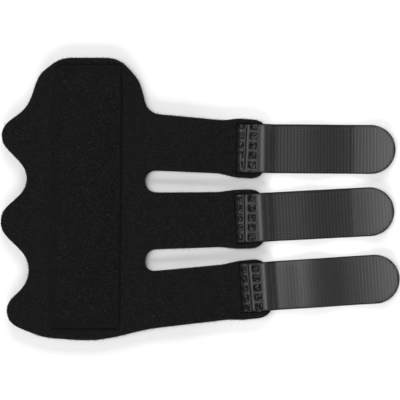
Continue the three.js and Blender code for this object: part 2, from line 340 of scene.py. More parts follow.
def wall_loop(node):
    """The closed outline at the foot of a node's upright wall, counter-clockwise from above."""
    copy = welded_copy(node)
    walls = [f for f in copy.faces if abs(f.normal.z) < UPRIGHT]
    foot = min(v.co.z for f in walls for v in f.verts)
    low = {
        e for f in walls for e in f.edges
        if all(abs(v.co.z - foot) < SAME_LEVEL for v in e.verts)
    }
    here = next(iter(sorted((v for e in low for v in e.verts), key=lambda v: v.index)))
    loop, edge = [], None
    while True:
        edge = next(e for e in here.link_edges if e in low and e is not edge)
        loop.append((here.co.x, here.co.y))
        here = edge.other_vert(here)
        if (here.co.x, here.co.y) == loop[0]:
            break
    copy.free()
    loop = np.array(loop)
    ahead = np.roll(loop, -1, 0)
    area = (loop[:, 0] * ahead[:, 1] - ahead[:, 0] * loop[:, 1]).sum() / 2
    return loop if area > 0 else loop[::-1]


def spaced(loop, step):
    """A closed line cut into equal steps."""
    closed = np.vstack([loop, loop[:1]])
    lengths = np.hypot(*np.diff(closed, axis=0).T)
    run = np.concatenate([[0], lengths.cumsum()])
    count = max(FEWEST_POINTS, round(run[-1] / step))
    at = np.arange(count) * run[-1] / count
    return np.stack([np.interp(at, run, closed[:, 0]), np.interp(at, run, closed[:, 1])], 1)


def relaxed(loop, passes):
    """A closed line whose small corners are smoothed away."""
    for _ in range(passes):
        loop = loop / 2 + (np.roll(loop, 1, 0) + np.roll(loop, -1, 0)) / 4
    return loop


panel_outline = relaxed(spaced(wall_loop("body_panel"), OUTLINE_STEP), OUTLINE_PASSES)
print("panel outline", len(panel_outline), "points")

# %% [markdown]
# ## A flat body with a soft rim
# The panel, the pocket and the tabs are all flat bodies: an outline, a rounded rim, and a face on each
# side. One function makes them. It sets rings of points in from the outline for the rim, fills the face
# with an even field of points, and joins them with well shaped triangles. A plain extrusion would leave
# long slivers on the faces, which can take no relief, and a voxel remesh would blur the outline.

# %% Points that fill an outline
ROW_GAP = math.sqrt(3) / 2
EDGE_CLEARANCE = 0.6


def inside(points, loop):
    """Whether each point lies inside a closed line, by counting crossings."""
    found = np.zeros(len(points), bool)
    x, y = points.T
    for (ax, ay), (bx, by) in zip(loop, np.roll(loop, -1, 0)):
        if ay != by:
            crosses = ((ay > y) != (by > y)) & (x < (bx - ax) * (y - ay) / (by - ay) + ax)
            found ^= crosses
    return found


def distances(points, loop):
    """How far each point is from the nearest point of a line."""
    tree = kdtree.KDTree(len(loop))
    for index, point in enumerate(loop):
        tree.insert((point[0], point[1], 0), index)
    tree.balance()
    return np.array([tree.find((x, y, 0))[2] for x, y in points])


def field(loop, step, keep=None):
    """An even field of points inside an outline, clear of it by most of a step."""
    low, high = loop.min(0), loop.max(0)
    rows = np.arange(low[1], high[1], step * ROW_GAP)
    columns = np.arange(low[0], high[0], step)
    points = np.array([
        (x + (step / 2 if index % 2 else 0), y)
        for index, y in enumerate(rows)
        for x in columns
    ])
    if keep is not None:
        points = points[keep(points)]
    points = points[inside(points, loop)]
    return points[distances(points, spaced(loop, step / 2)) > EDGE_CLEARANCE * step]


# %% Lines moved in from an outline
DIRECTION_PASSES = 24


def outward(loop):
    """The outward direction at each point of a counter-clockwise line."""
    along = np.roll(loop, -1, 0) - np.roll(loop, 1, 0)
    along = along / np.hypot(*along.T)[:, None]
    return np.stack([along[:, 1], -along[:, 0]], 1)


def inset_by(loop, inset):
    """A line moved in from an outline. Its directions are eased first, so that it can't cross at a corner."""
    return loop - relaxed(outward(loop), DIRECTION_PASSES) * inset


# %% The flat body
UNDER_STEP = 4 * MM
ONLY_INSIDE = 1
SAME_POINT = 1e-9


def capped(loop, fill):
    """Triangles over a loop and the points inside it, as rows of indices into the two together."""
    points = [Vector(p) for p in np.vstack([loop, fill.reshape(-1, 2)])]
    made = geometry.delaunay_2d_cdt(points, [], [list(range(len(loop)))], ONLY_INSIDE, SAME_POINT)
    first = [ids[0] for ids in made[3]]
    return [tuple(first[i] for i in face) for face in made[2]]


def flat_body(name, outline, rim, fill, bottom, top):
    """A closed body between two height functions. The rim lists inset and level, from under to over."""
    rings = [inset_by(outline, inset) for inset, _ in rim]
    under = field(rings[0], UNDER_STEP)
    count = len(outline)
    plan = np.vstack([*rings, fill, under])
    level = np.concatenate([
        *[np.full(count, share) for _, share in rim],
        np.ones(len(fill)),
        np.zeros(len(under)),
    ])
    low, high = bottom(plan), top(plan)
    points = np.column_stack([plan, low + level * (high - low)])
    faces = []
    for ring in range(len(rim) - 1):
        a, b = ring * count, (ring + 1) * count
        faces += [(a + i, a + (i + 1) % count, b + (i + 1) % count, b + i) for i in range(count)]
    over_start = (len(rim) - 1) * count
    shift = len(rim) * count
    over = capped(rings[-1], fill)
    faces += [tuple(over_start + i if i < count else shift + i - count for i in face) for face in over]
    shift += len(fill)
    below = capped(rings[0], under)
    faces += [tuple(i if i < count else shift + i - count for i in reversed(face)) for face in below]
    made = mesh_object(name, points, faces)
    groups = {"face": slice(len(rim) * count, len(rim) * count + len(fill)), "ring": count}
    print(name, "points", len(points), "faces", len(faces))
    return made, groups


# %% [markdown]
# ## The tabs' frames
# A tab leans a few degrees off its strap. The lean is the turn at which its plan is narrowest, and in the
# turned plan its root and its tip are the two ends. The row of stations on its downward faces gives the
# line that it follows over the floor: down from the weld, over one low wave, and up at the tip.

# %% Place and line of each tab
LEANS = np.radians(np.arange(-9, 9, 0.05))
LINE_EASE = np.linspace(-1.5, 1.5, 9) * MM
LINE_DIGITS = 6
WELD_LENGTH = 12.4 * MM
TABS = ("hook_tab_top", "hook_tab_middle", "hook_tab_low")


class Tab:
    """A tab's own frame: u runs from its strap's end to its tip, and v across it."""

    def __init__(self, node):
        self.node = node
        copy = welded_copy(node)
        plan = np.array([v.co.to_2d() for v in copy.verts])
        spans = [np.ptp(plan @ (-math.sin(a), math.cos(a))) for a in LEANS]
        lean = LEANS[int(np.argmin(spans))]
        self.along = np.array((math.cos(lean), math.sin(lean)))
        self.across = np.array((-math.sin(lean), math.cos(lean)))
        self.width = min(spans)
        middle = (plan @ self.across).min() + self.width / 2
        self.origin = self.along * ((plan @ self.along).min() + WELD_LENGTH) + self.across * middle
        self.tip = (plan @ self.along).max() - self.origin @ self.along
        stations = set()
        for vertex in {v for f in copy.faces if f.normal.z < -FACING for v in f.verts}:
            u, _ = self.local(np.array(vertex.co.to_2d()))
            stations.add((round(float(u), LINE_DIGITS), round(vertex.co.z, LINE_DIGITS)))
        self.line = np.array(sorted(stations))
        copy.free()

    def local(self, plan):
        """u and v of points of the row frame."""
        off = plan - self.origin
        return off @ self.along, off @ self.across

    def world(self, u, v):
        """Points of the row frame from u and v."""
        return self.origin + np.multiply.outer(u, self.along) + np.multiply.outer(v, self.across)

    def underside(self, u):
        """How high the underside lies at u, with its corners eased."""
        return np.mean([np.interp(u + step, self.line[:, 0], self.line[:, 1]) for step in LINE_EASE], 0)


tabs = {name: Tab(name) for name in TABS}
for tab in tabs.values():
    print(tab.node, "origin", tab.origin / MM, "width", tab.width / MM)
    print("    tip", tab.tip / MM, "stations", len(tab.line))

# %% [markdown]
# ## The weld
# An ultrasonic horn melts the root of each tab into its strap. Its face is a grid of square teeth, so the
# joint is a plate with two columns of square pits between raised ridges, and a narrow groove runs between
# the columns. The horn is in line with the strap, not with the tab, and on the top strap its grid runs past
# the plate and prints one more row on the bare cloth beside it. Both the plate and the cloth read the same
# function, so the print lines up.

# %% The horn's grid
PIT_PITCH = 3.92 * MM
PIT_COLUMN_GAP = 5.3 * MM
PIT_HALF = 1.42 * MM
PIT_WALL = 0.6 * MM
PIT_SQUARENESS = 4
PIT_ROWS = 5
HORNS = {
    # turn against the row frame in degrees, shift across the tab, rows that print past the plate's foot
    "hook_tab_top": (-2.9, 1.15 * MM, 1),
    "hook_tab_middle": (0.4, 0.15 * MM, 0),
    "hook_tab_low": (5.2, -0.25 * MM, 0),
}
PIT_INSET = 8.4 * MM
GROOVE_SHIFT = -0.25 * MM
GROOVE_HALF = 0.3 * MM
GROOVE_DEPTH = 0.3 * MM
GROOVE_END = (2.4 * PIT_PITCH, 2.7 * PIT_PITCH)


def wobble(points, size, seed):
    """Smooth noise from -1 to 1 at points of the plan, with lumps as wide as the size."""
    scale = 1 / size
    return np.array([noise.noise(Vector((x * scale, y * scale, seed))) for x, y in points])


def smooth(value, low, high):
    """A soft step from 0 to 1 between two values."""
    share = np.clip((value - low) / (high - low), 0, 1)
    return share * share * (3 - 2 * share)


def pit_depth(tab, plan):
    """How deep the horn presses at each point, as shares: its left teeth, right teeth and middle rib."""
    turn, shift, extra = HORNS[tab.node]
    middle = tab.world(np.array(-PIT_INSET), np.array(shift))
    angle = math.radians(turn)
    off = plan - middle
    along = off @ (math.cos(angle), math.sin(angle))
    across = off @ (-math.sin(angle), math.cos(angle))
    row = np.clip(np.round(across / PIT_PITCH), -(PIT_ROWS // 2) - extra, PIT_ROWS // 2)
    from_row = np.abs(across - row * PIT_PITCH)
    found = []
    for column in (-0.5, 0.5):
        from_column = np.abs(along - column * PIT_COLUMN_GAP)
        square = (from_column ** PIT_SQUARENESS + from_row ** PIT_SQUARENESS) ** (1 / PIT_SQUARENESS)
        found.append(1 - smooth(square, PIT_HALF - PIT_WALL / 2, PIT_HALF + PIT_WALL / 2))
    in_grid = 1 - smooth(np.abs(across), *GROOVE_END)
    groove = np.exp(-(((along - GROOVE_SHIFT) / GROOVE_HALF) ** 2)) * in_grid
    return [*found, groove]


# %% [markdown]
# ## The panel
# The panel is a soft laminate, so its faces aren't dead flat. The cloth ripples by less than a tenth of a
# millimetre. It is pulled down in a crease along the pocket's seam, hardly on the left and most on the
# right, where the crease widens into a fold a third of the way up. The crease eases off at both ends, and a
# faint one crosses the heel. Under each weld the panel is squeezed nearly flat, and its margin puffs up
# again round the plate. All of this is one height function over the plan.

# %% The pocket's corners, which the panel's crease follows too


def base_corners(node):
    """The four corners of a node's plan, counter-clockwise from the top left."""
    plan = np.array([v.co.to_2d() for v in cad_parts[node].data.vertices])
    ways = [(-1, 1), (-1, -1), (1, -1), (1, 1)]
    return np.array([plan[np.argmax(plan @ np.array(way, float))] for way in ways])


pocket_corners = base_corners("stay_pocket")
pocket_low, pocket_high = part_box("stay_pocket")
POCKET_EDGE_STEP = 0.45 * MM
POCKET_CORNER_SMOOTHING = 22
pocket_outline = relaxed(spaced(pocket_corners, POCKET_EDGE_STEP), POCKET_CORNER_SMOOTHING)
print("pocket corners", (pocket_corners / MM).round(1).tolist())
print("pocket from", tuple(pocket_low), "to", tuple(pocket_high))

# %% Height of the cloth
panel_low, panel_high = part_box("body_panel")
PANEL_THICKNESS = panel_high.z - panel_low.z
RIPPLE = 0.07 * MM
RIPPLE_SIZE = 9 * MM
NUB = 0.035 * MM
NUB_SIZE = 1.3 * MM
CREASE_DEPTH = 0.4 * MM
CREASE_OUT = 0.5 * MM
CREASE_WIDTH = 0.42 * MM
CREASE_LEFT_SHARE = 0.2
CREASE_END_EASE = 0.75
CREASE_END_FROM = 5 * MM
CREASE_END_TO = 1 * MM
FOLD_PIXEL = (125, 267)
FOLD_SPAN = 15 * MM
FOLD_GAIN = 1.3
HEEL_SHARE = 0.35
HEEL_PIXELS = ((40, 327.6), (128, 327.6))
WELD_REACH = 4 * MM
SEAT_FLOOR = 1.35 * MM
SEAT_MARGIN = 0.1 * MM
SEAT_WALL = 0.35 * MM
PUFF = 0.1 * MM
PUFF_SIZE = 1.6 * MM
PUFF_WIDTH = 1.1 * MM
PRINT_DEPTH = 0.45 * MM
_, fold_y = from_photo(*FOLD_PIXEL)
heel_start, heel_end = [from_photo(*pixel) for pixel in HEEL_PIXELS]


def signed_distance(points, loop):
    """Distance from a closed line, negative inside it."""
    away = distances(points, loop)
    return np.where(inside(points, loop), -away, away)


def segment_distance(points, start, end):
    """Distance from a straight line between two points."""
    start, end = np.array(start), np.array(end)
    way = end - start
    share = np.clip((points - start) @ way / (way @ way), 0, 1)
    return np.hypot(*(points - start - share[:, None] * way).T)


def crease_share(plan):
    """How far the seam pulls the cloth down at each point, as a share of the crease's depth."""
    from_pocket = signed_distance(plan, pocket_outline)
    to_right = smooth(plan[:, 0], pocket_low.x, pocket_high.x)
    folded = to_right * np.exp(-(((plan[:, 1] - fold_y) / FOLD_SPAN) ** 2))
    width = CREASE_WIDTH * (1 + FOLD_GAIN * folded)
    crease = np.exp(-(((from_pocket - CREASE_OUT - 0.5 * (width - CREASE_WIDTH)) / width) ** 2))
    crease *= CREASE_LEFT_SHARE + (1 - CREASE_LEFT_SHARE) * to_right
    at_top = smooth(plan[:, 1], pocket_high.y - CREASE_END_FROM, pocket_high.y - CREASE_END_TO)
    at_heel = smooth(-plan[:, 1], -pocket_low.y - CREASE_END_FROM, -pocket_low.y - CREASE_END_TO)
    crease *= 1 - CREASE_END_EASE * (at_top + at_heel)
    heel = HEEL_SHARE * np.exp(-((segment_distance(plan, heel_start, heel_end) / CREASE_WIDTH) ** 2))
    return np.maximum(crease, heel)


def cloth_top(plan):
    """Height of the panel's upper face."""
    height = PANEL_THICKNESS + RIPPLE * wobble(plan, RIPPLE_SIZE, seed=0.3)
    height += NUB * wobble(plan, NUB_SIZE, seed=4.2)
    height -= CREASE_DEPTH * crease_share(plan)
    for tab in tabs.values():
        u, v = tab.local(plan)
        off_plate = np.maximum(np.maximum(-WELD_LENGTH - u, np.abs(v) - tab.width / 2), 0)
        near = np.exp(-((off_plate / PUFF_WIDTH) ** 2)) * (u < WELD_REACH)
        seat = 1 - smooth(off_plate, SEAT_MARGIN, SEAT_MARGIN + SEAT_WALL)
        height = np.where(u < WELD_REACH, height * (1 - seat) + SEAT_FLOOR * seat, height)
        height += PUFF * near * (1 - seat) * wobble(plan, PUFF_SIZE, seed=7.0)
        left, right, _ = pit_depth(tab, plan)
        height -= PRINT_DEPTH * (1 - seat) * np.maximum(left, right)
    return height


def floor_level(plan):
    """The flat underside."""
    return np.zeros(len(plan))


# %% Build the panel
PANEL_STEP = 0.8 * MM
WELD_STEP = 0.38 * MM
CREASE_STEP = 0.42 * MM
CREASE_BAND = 1.3 * MM
ROOT_MARGIN = 2 * MM
WELD_MARGIN = 3 * MM
PANEL_RIM = [
    # how far in from the outline, and how high as a share of the thickness, from under to over
    (0.55 * MM, 0.0), (0.16 * MM, 0.05), (0.0, 0.2), (0.0, 0.58),
    (0.1 * MM, 0.77), (0.36 * MM, 0.91), (0.8 * MM, 0.985), (1.3 * MM, 1.0),
]


def near_weld(points):
    """Whether points are close enough to a weld to need finer relief."""
    found = np.zeros(len(points), bool)
    for tab in tabs.values():
        u, v = tab.local(points)
        lengthways = (u > -WELD_LENGTH - ROOT_MARGIN) & (u < WELD_MARGIN)
        found |= lengthways & (np.abs(v) < tab.width / 2 + WELD_MARGIN)
    return found


def near_crease(points):
    """Whether points lie in the band of the crease along the pocket."""
    return np.abs(signed_distance(points, pocket_outline) - CREASE_OUT) < CREASE_BAND


def panel_fill(outline):
    """Points over the panel's face, finer near the welds and along the crease."""
    inner = inset_by(outline, PANEL_RIM[-1][0])
    coarse = field(inner, PANEL_STEP, lambda p: ~near_weld(p) & ~near_crease(p))
    weld = field(inner, WELD_STEP, near_weld)
    crease = field(inner, CREASE_STEP, lambda p: ~near_weld(p) & near_crease(p))
    return np.vstack([coarse, weld, crease])


panel, _ = flat_body(
    "lining_panel", panel_outline, PANEL_RIM, panel_fill(panel_outline), floor_level, cloth_top,
)
panel.data.materials.append(lining)
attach(panel, BODY)
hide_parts("body_panel")

# %% [markdown]
# ## The stay pocket
# The pocket is a strip of the same cloth, sewn down all round a bendable stay. A line of stitches runs a
# little inside its edge: outside the stitches the raw edge stands up as a soft bead, and inside them the
# cover is drawn over the stay into a low crown. The bead is modelled by its section. The crown is real
# cloth: everything but the face inside the stitches is pinned, the body is blown up with a little
# pressure, and the shape that comes out is kept.

# %% Build the pocket flat
POCKET_STEP = 0.8 * MM
STITCH_INSET = 1.55 * MM
POCKET_FOOT = 0.22 * MM
pocket_rise = pocket_high.z - pocket_low.z + POCKET_FOOT
BEAD = 0.5 * MM / pocket_rise
CHANNEL = 0.4 * MM / pocket_rise
flat_height = pocket_low.z - POCKET_FOOT + CHANNEL * pocket_rise
POCKET_RIM = [
    # how far in from the outline, and how high as a share of the pocket's rise
    (0.35 * MM, 0.0), (0.05 * MM, 0.06), (0.0, 0.5 * BEAD), (0.16 * MM, 0.85 * BEAD),
    (0.5 * MM, BEAD), (0.9 * MM, 0.97 * BEAD), (1.25 * MM, 0.88 * BEAD), (STITCH_INSET, CHANNEL),
]


def pocket_bottom(plan):
    """Underside of the pocket, just clear of the panel."""
    return np.full(len(plan), pocket_low.z - POCKET_FOOT)


def pocket_top(plan):
    """The top of the crown's box."""
    return np.full(len(plan), pocket_high.z)


pocket_inner = inset_by(pocket_outline, STITCH_INSET)
pocket, pocket_groups = flat_body(
    "pocket_cover", pocket_outline, POCKET_RIM, field(pocket_inner, POCKET_STEP), pocket_bottom, pocket_top,
)
face = pocket_groups["face"]
for vertex in list(pocket.data.vertices)[face]:
    vertex.co.z = flat_height

# %% Blow up the cover
SIMULATION_SCALE = 60
PRESSURE = 6.0
FRAMES = 20
CROWN_PERCENTILE = 97


def inflated(piece, free):
    """How high the free points of a piece rise when the rest is pinned and the inside is under pressure."""
    copy = piece.copy()
    copy.data = piece.data.copy()
    bpy.context.scene.collection.objects.link(copy)
    copy.data.transform(Matrix.Scale(SIMULATION_SCALE, 4))
    held = copy.vertex_groups.new(name="held")
    free_set = set(free)
    held.add([i for i in range(len(copy.data.vertices)) if i not in free_set], 1.0, "REPLACE")
    cloth = copy.modifiers.new("blown_up", "CLOTH")
    settings = cloth.settings
    settings.vertex_group_mass = "held"
    settings.effector_weights.gravity = 0
    settings.use_pressure = True
    settings.uniform_pressure_force = PRESSURE
    settings.tension_stiffness = settings.compression_stiffness = 8
    settings.shear_stiffness = 4
    settings.bending_stiffness = 1.2
    settings.quality = 6
    settings.shrink_min = -0.04
    cloth.collision_settings.use_collision = False
    scene = bpy.context.scene
    scene.frame_start, scene.frame_end = 1, FRAMES
    for frame_number in range(1, FRAMES + 1):
        scene.frame_set(frame_number)
    shaped = copy.evaluated_get(bpy.context.evaluated_depsgraph_get())
    heights = np.array([shaped.data.vertices[i].co.z for i in free]) / SIMULATION_SCALE
    scene.frame_set(1)
    bpy.data.objects.remove(copy)
    return heights


free_points = list(range(face.start, face.stop))
crown_height = pocket_high.z - flat_height
rise = inflated(pocket, free_points) - flat_height
print("blown up by", rise.max() / MM, "mm at most, and", np.median(rise) / MM, "in the middle")
share = np.clip(rise / np.percentile(rise, CROWN_PERCENTILE), 0, 1)
for index, part in zip(free_points, share):
    pocket.data.vertices[index].co.z = flat_height + crown_height * float(part)
pocket.data.update()
pocket.data.materials.append(pocket_cover)
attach(pocket, BODY)
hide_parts("stay_pocket")

# %% [markdown]
# ## The seam
# The pocket's stitches are short black dashes of thread that sink into the channel inside the bead. Each is
# a small bowed capsule, and all of them are one joined mesh, because they share one thread.

# %% Thread finish and stitches
STITCH_LENGTH = 2.1 * MM
STITCH_PITCH = 2.7 * MM
THREAD = 0.3 * MM
STITCH_SIDES = 8
STITCH_STATIONS = 6
STITCH_LIFT = 0.2
STITCH_BOW = 0.9
STITCH_END = 0.05
thread = cloth_finish("seam_thread", (0.0028, 0.0028, 0.0029), (0.008, 0.008, 0.0082), 11.0)


def capsule(length, thickness, sides, stations):
    """Points and faces of one stitch along +X, with tapered ends that dip."""
    points, faces = [], []
    for station in np.linspace(-1, 1, stations):
        radius = thickness / 2 * math.sqrt(max(0.0, 1 - abs(station) ** 4)) + thickness * STITCH_END
        dip = -thickness * STITCH_BOW * station ** 2
        for side in range(sides):
            angle = math.tau * side / sides
            points.append((station * length / 2, radius * math.cos(angle), radius * math.sin(angle) + dip))
    for ring in range(stations - 1):
        for side in range(sides):
            a, b = ring * sides + side, ring * sides + (side + 1) % sides
            faces.append((a, b, b + sides, a + sides))
    faces.append(tuple(range(sides)))
    faces.append(tuple(reversed(range((stations - 1) * sides, stations * sides))))
    return np.array(points), faces


def joined(name, copies, points, faces):
    """One mesh of many copies of a small form. Each copy is a rotation matrix and a place."""
    all_points = np.vstack([points @ turn.T + place for turn, place in copies])
    size = len(points)
    all_faces = [tuple(i + size * n for i in face) for n in range(len(copies)) for face in faces]
    return mesh_object(name, all_points, all_faces)


def turned(angle):
    """A turn about +Z as a matrix."""
    c, s = math.cos(angle), math.sin(angle)
    return np.array([[c, -s, 0], [s, c, 0], [0, 0, 1]])


seam_line = spaced(pocket_inner, STITCH_PITCH)
seam_way = np.roll(seam_line, -1, 0) - np.roll(seam_line, 1, 0)
stitches = [
    (turned(math.atan2(way[1], way[0])), np.array((*point, flat_height + THREAD * STITCH_LIFT)))
    for point, way in zip(seam_line, seam_way)
]
stitch_form = capsule(STITCH_LENGTH, THREAD, STITCH_SIDES, STITCH_STATIONS)
stitch_row = joined("pocket_stitches", stitches, *stitch_form)
stitch_row.data.materials.append(thread)
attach(stitch_row, BODY)
print("stitches", len(stitches))

# %% [markdown]
# ## The pile
# What makes loop cloth look like cloth is its pile: fine loops that lean every way, a few of which catch
# the light. Each is a thin bowed strand with both feet in the cloth. They are scattered over the panel and
# the pocket, not set in rows, because brushing tangles them, and a fringe of them follows the panel's edge,
# so that the outline is as fuzzy as cut cloth. Each field of them is one joined mesh.

# %% Strands of pile
STRAND = 0.11 * MM
STRAND_LENGTH = (0.6 * MM, 1.3 * MM)
STRAND_RISE = (0.05 * MM, 0.2 * MM)
STRAND_BEND = 0.9
STRAND_SINK = 0.3 * STRAND
STRAND_STATIONS = 5
STRAND_SIDES = 3
PANEL_STRANDS = 6300
FRINGE_STRANDS = 1200
POCKET_STRANDS = 3600
pile_yarn = cloth_finish("pile_yarn", (0.008, 0.008, 0.0082), (0.036, 0.036, 0.0364), 17.0)


def strands(name, starts, surface):
    """One mesh of bowed strands that stand on a surface, each with its own way, length and rise."""
    count = len(starts)
    way = draw.uniform(0, math.tau, count)
    bend = draw.uniform(-STRAND_BEND, STRAND_BEND, count)
    length = draw.uniform(*STRAND_LENGTH, count)
    rise = draw.uniform(*STRAND_RISE, count)
    share = np.linspace(-0.5, 0.5, STRAND_STATIONS)
    turn = way[:, None] + bend[:, None] * share
    x = starts[:, :1] + length[:, None] * share * np.cos(turn)
    y = starts[:, 1:] + length[:, None] * share * np.sin(turn)
    plan = np.stack([x, y], 2)
    ground = surface(plan.reshape(-1, 2)).reshape(count, STRAND_STATIONS)
    z = ground + rise[:, None] * (1 - (2 * share) ** 2) - STRAND_SINK
    side = np.stack([-np.sin(turn), np.cos(turn)], 2)
    points = []
    for number in range(STRAND_SIDES):
        angle = math.tau * number / STRAND_SIDES + math.pi / 2
        out = STRAND / 2 * math.cos(angle)
        points.append(np.dstack([plan + out * side, z + STRAND / 2 * math.sin(angle)]))
    points = np.stack(points, 2).reshape(-1, 3)
    sides = STRAND_SIDES
    size = STRAND_STATIONS * sides
    skin = []
    for first in range(0, size - sides, sides):
        for a in range(sides):
            b = (a + 1) % sides
            skin.append((first + a, first + sides + a, first + sides + b, first + b))
    ends = [tuple(range(sides)), tuple(reversed(range(size - sides, size)))]
    faces = [tuple(i + size * n for i in face) for n in range(count) for face in skin + ends]
    made = mesh_object(name, points, faces)
    made.data.materials.append(pile_yarn)
    print(name, "strands", count)
    return made


def scattered(loop, count, keep=None):
    """Random points inside an outline."""
    low, high = loop.min(0), loop.max(0)
    found = np.empty((0, 2))
    while len(found) < count:
        points = draw.uniform(low, high, (count, 2))
        points = points[inside(points, loop)]
        found = np.vstack([found, points if keep is None else points[keep(points)]])
    return found[:count]


# %% Pile of the panel
RIM_WIDEST = 3
PILE_INSET = 0.7 * MM
FRINGE_INSET = 0.12 * MM
FRINGE_STEP = 0.2 * MM
BARE_BY_POCKET = 0.9 * MM
BARE_BY_PLATE = 0.6 * MM


def panel_surface(plan):
    """Height of the panel's cloth, with its rounded rim."""
    insets, levels = zip(*PANEL_RIM[RIM_WIDEST:])
    return cloth_top(plan) * np.interp(distances(plan, panel_outline), insets, levels)


def bare_panel(plan):
    """Whether points of the panel lie clear of the pocket and the plates."""
    clear = signed_distance(plan, pocket_outline) > BARE_BY_POCKET
    for tab in tabs.values():
        u, v = tab.local(plan)
        beside = np.abs(v) < tab.width / 2 + BARE_BY_PLATE
        clear &= ~((u > -WELD_LENGTH - BARE_BY_PLATE) & beside)
    return clear


pile_starts = scattered(inset_by(panel_outline, PILE_INSET), PANEL_STRANDS, bare_panel)
fringe_starts = spaced(inset_by(panel_outline, FRINGE_INSET), FRINGE_STEP)
fringe_starts = fringe_starts[draw.permutation(len(fringe_starts))[:FRINGE_STRANDS]]
pile = strands("lining_pile", np.vstack([pile_starts, fringe_starts]), panel_surface)
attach(pile, BODY)

# %% Pile of the pocket
POCKET_PILE_INSET = 0.8 * MM
CROWN_FACING = 0.2
NEAREST = 4
NEAR_EASE = 0.02 * MM
crown = pocket.data
crown_tree = kdtree.KDTree(len(crown.vertices))
for vertex in crown.vertices:
    if vertex.normal.z > CROWN_FACING:
        crown_tree.insert((vertex.co.x, vertex.co.y, 0), vertex.index)
crown_tree.balance()


def pocket_surface(plan):
    """Height of the blown up cover, as a mean of its nearest points weighted by nearness."""
    heights = []
    for x, y in plan:
        near = crown_tree.find_n((x, y, 0), NEAREST)
        weights = [1 / (away + NEAR_EASE) for _, _, away in near]
        total = sum(w * crown.vertices[index].co.z for w, (_, index, _) in zip(weights, near))
        heights.append(total / sum(weights))
    return np.array(heights)


pocket_starts = scattered(inset_by(pocket_outline, POCKET_PILE_INSET), POCKET_STRANDS)
pocket_pile = strands("pocket_pile", pocket_starts, pocket_surface)
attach(pocket_pile, BODY)

# %% [markdown]
# ## The hook tabs
# A tab is one strip of tape. Its root is squeezed into the welded plate, its free part lies in a low wave
# that the underside's line gives, and it ends in a half round. The strip's own body is a flat body with
# small, sharp rims. Its plate takes the horn's pits and groove, a root edge that the melt has frayed, and a
# smooth shoulder that rises a little before the strip drops off the strap's end. However deep a pit is, a
# thin skin of tape is left under it.

# %% The strip's plan and heights
BACKING = 0.6 * MM
THINNEST = 0.15 * MM
TAB_RIM = [(0.12 * MM, 0.0), (0.0, 0.2), (0.0, 0.5), (0.14 * MM, 0.74), (0.42 * MM, 0.93), (0.66 * MM, 1.0)]
TAB_OUTLINE_STEP = 0.35 * MM
TIP_POINTS = 60
PLATE_LINE = np.array([
    # u beyond the strap's end and height over the floor, in millimetres
    (-12.6, 1.95), (-11.8, 2.3), (-10.8, 2.44), (-9.0, 2.46), (-7.6, 2.42), (-4.5, 2.46), (-3.3, 2.37),
    (-2.5, 2.38), (-1.75, 2.465), (-1.55, 2.47), (-0.9, 2.43), (0.4, 2.22), (1.5, 1.88),
]) * MM
PLATE_EASE = (-0.25 * MM, 0, 0.25 * MM)
PLATE_END = (0.1 * MM, 1.7 * MM)
SHOULDER_SHIFT = {"hook_tab_top": 0.2 * MM, "hook_tab_middle": -0.25 * MM, "hook_tab_low": -0.75 * MM}
DROP_SHIFT = {"hook_tab_top": 1.3 * MM, "hook_tab_middle": 1.2 * MM, "hook_tab_low": 3.0 * MM}
DROP_FROM = (-1.5 * MM, 0)
DROP_TO = (4 * MM, 12 * MM)
FRAY = 0.34 * MM
FRAY_SIZE = 1.5 * MM
ROOT_EDGE = 0.02 * MM


def strip_plan(tab):
    """The tab's outline, from the root's lower corner round the tip."""
    side = tab.width / 2
    turns = np.linspace(-math.pi / 2, math.pi / 2, TIP_POINTS)
    tip = [(tab.tip - side + side * math.cos(a), side * math.sin(a)) for a in turns]
    corners = np.array([(-WELD_LENGTH, -side), *tip, (-WELD_LENGTH, side)])
    line = spaced(corners, TAB_OUTLINE_STEP)
    frayed = line[:, 0] < -WELD_LENGTH + ROOT_EDGE
    own_seed = 2.0 + tab.origin[1] / MM
    line[frayed, 0] += FRAY * wobble(line[frayed][:, ::-1], FRAY_SIZE, own_seed)
    return tab.world(line[:, 0], line[:, 1])


def strip_line(tab, u):
    """Height of the strip's underside at u. Its drop off the strap starts a little before the solid's."""
    shift = DROP_SHIFT[tab.node] * smooth(u, *DROP_FROM) * (1 - smooth(u, *DROP_TO))
    return tab.underside(u + shift)


def strip_bottom(tab):
    """Height function of the strip's underside."""
    return lambda plan: strip_line(tab, tab.local(plan)[0])


# %% The strip's upper face
# a pit's depth and how uneven its floor is, then the lumps over the weld and what the melted root adds, all
# in millimetres
LEFT_PIT = (0.62, 0.2)
RIGHT_PIT = (0.7, 0.08)
LUMPS = (0.03, 0.07)
ROUGH_SIZE = 0.8 * MM
LUMP_SIZE = 2.3 * MM
MELTED_END = (-10.5 * MM, -6.5 * MM)
LUMPY_END = (-4.2 * MM, -3.2 * MM)


def strip_top(tab):
    """Height function of the strip's upper face, without its hooks."""

    def top(plan):
        u, _ = tab.local(plan)
        strip = strip_line(tab, u) + BACKING
        at = u - SHOULDER_SHIFT[tab.node]
        plate = np.mean([np.interp(at + step, *PLATE_LINE.T) for step in PLATE_EASE], 0)
        height = plate + (strip - plate) * smooth(u, *PLATE_END)
        left, right, groove = pit_depth(tab, plan)
        height -= GROOVE_DEPTH * groove
        rough = wobble(plan, ROUGH_SIZE, seed=3.0)
        lumpy = wobble(plan, LUMP_SIZE, seed=8.0)
        pressed_left = left * (LEFT_PIT[0] + LEFT_PIT[1] * rough)
        pressed_right = right * (RIGHT_PIT[0] + RIGHT_PIT[1] * rough)
        height -= pressed_left * MM + pressed_right * MM
        melted = 1 - smooth(u, *MELTED_END)
        weld = 1 - smooth(u, *LUMPY_END)
        height += weld * (LUMPS[0] + LUMPS[1] * melted) * (rough + lumpy) * MM
        return np.maximum(height, strip - BACKING + THINNEST)

    return top


